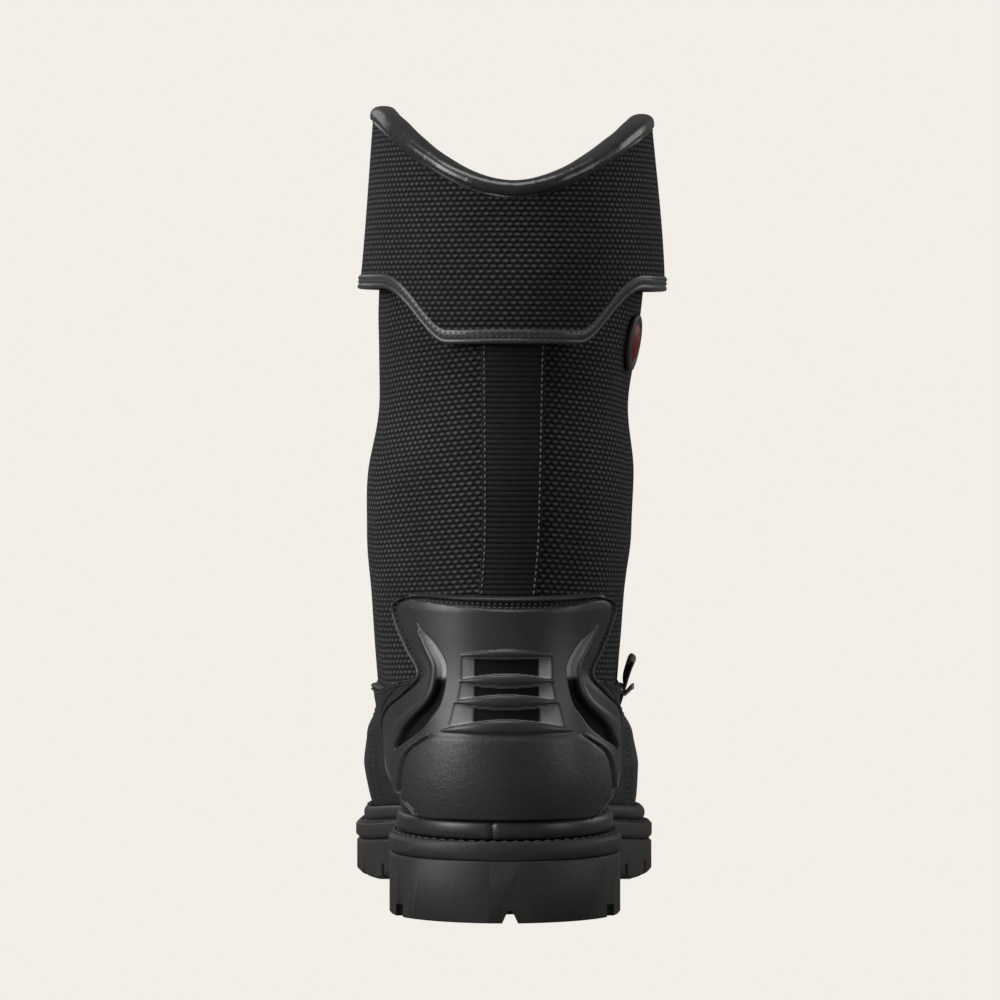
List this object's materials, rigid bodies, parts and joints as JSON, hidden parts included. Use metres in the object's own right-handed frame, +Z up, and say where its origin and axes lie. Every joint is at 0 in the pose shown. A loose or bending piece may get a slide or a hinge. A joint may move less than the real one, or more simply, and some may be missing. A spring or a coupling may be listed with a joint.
{
  "type": "firefighting boot",
  "caption": "Pull-on structural firefighting boot for the right foot, with a woven shaft, side pull flaps, moulded heel counter, safety toe and lugged rubber sole.",
  "frame": {"origin": "on the floor under the middle of the boot's bounding box", "axes": "+Z up, +Y from heel to toe, +X to the lateral (outer) side of a right foot"},
  "size_m": [0.13, 0.324, 0.3257],
  "materials": {
    "woven_cloth": "coarse flame-resistant basket weave, matt with small bright threads",
    "webbing": "ribbed narrow webbing, matt",
    "smooth_leather": "waterproof smooth leather, satin",
    "binding_leather": "rolled binding, semi-gloss",
    "moulded_rubber": "moulded rubber, satin with a fine pebble",
    "gloss_rubber": "dark rubber, semi-gloss",
    "sole_rubber": "sole rubber, matt and lightly scuffed",
    "lining_cloth": "soft moisture barrier lining, matt",
    "foam": "padding foam, matt",
    "steel": "pressed steel, hidden inside the boot",
    "cork": "ground cork filler, matt",
    "board": "fibre board, matt",
    "badge_red": "soft moulded inlay, satin",
    "label_cloth": "folded woven tag, matt"
  },
  "bodies": {
    "boot": {"midsole": "sole_rubber", "outsole_forepart": "sole_rubber", "heel_block": "sole_rubber", "heel_nail_1": "steel", "heel_nail_2": "steel", "heel_nail_3": "steel", "heel_nail_4": "steel", "heel_nail_5": "steel", "heel_rand": "moulded_rubber", "forepart_welt": "gloss_rubber", "cork_filler": "cork", "steel_shank": "steel", "puncture_plate": "steel", "insole_board": "board", "footbed": "foam", "quarter_medial": "smooth_leather", "quarter_lateral": "smooth_leather", "vamp": "smooth_leather", "heel_stiffener": "board", "ankle_foam_medial": "foam", "ankle_foam_lateral": "foam", "steel_toe_cap": "steel", "toe_bumper": "moulded_rubber", "lining_bootie": "lining_cloth", "shaft_medial": "woven_cloth", "shaft_lateral": "woven_cloth", "shin_pad": "foam", "instep_flex_panel": "moulded_rubber", "shin_guard": "smooth_leather", "back_strap": "webbing", "counter_backing": "gloss_rubber", "heel_counter": "moulded_rubber", "collar_panel": "woven_cloth", "hem_back": "binding_leather", "hem_front": "binding_leather", "top_binding": "binding_leather", "side_badge": "moulded_rubber", "badge_insert": "badge_red", "side_label": "label_cloth"},
    "flap_medial": {"pull_flap_medial": "woven_cloth", "flap_hem_medial": "binding_leather"},
    "flap_lateral": {"pull_flap_lateral": "woven_cloth", "flap_hem_lateral": "binding_leather"}
  },
  "joints": [
    {"name": "flap_medial_hinge", "type": "hinge", "parent": "boot", "child": "flap_medial", "pos_m": [-0.0556, -0.0765, 0.297], "axis": [0, 1, 0], "range_deg": [0, 20], "stiffness_Nm_per_rad": 0.006, "springref_deg": -17.19},
    {"name": "flap_lateral_hinge", "type": "hinge", "parent": "boot", "child": "flap_lateral", "pos_m": [0.062, -0.0765, 0.297], "axis": [0, -1, 0], "range_deg": [0, 20], "stiffness_Nm_per_rad": 0.006, "springref_deg": -17.19}
  ]
}
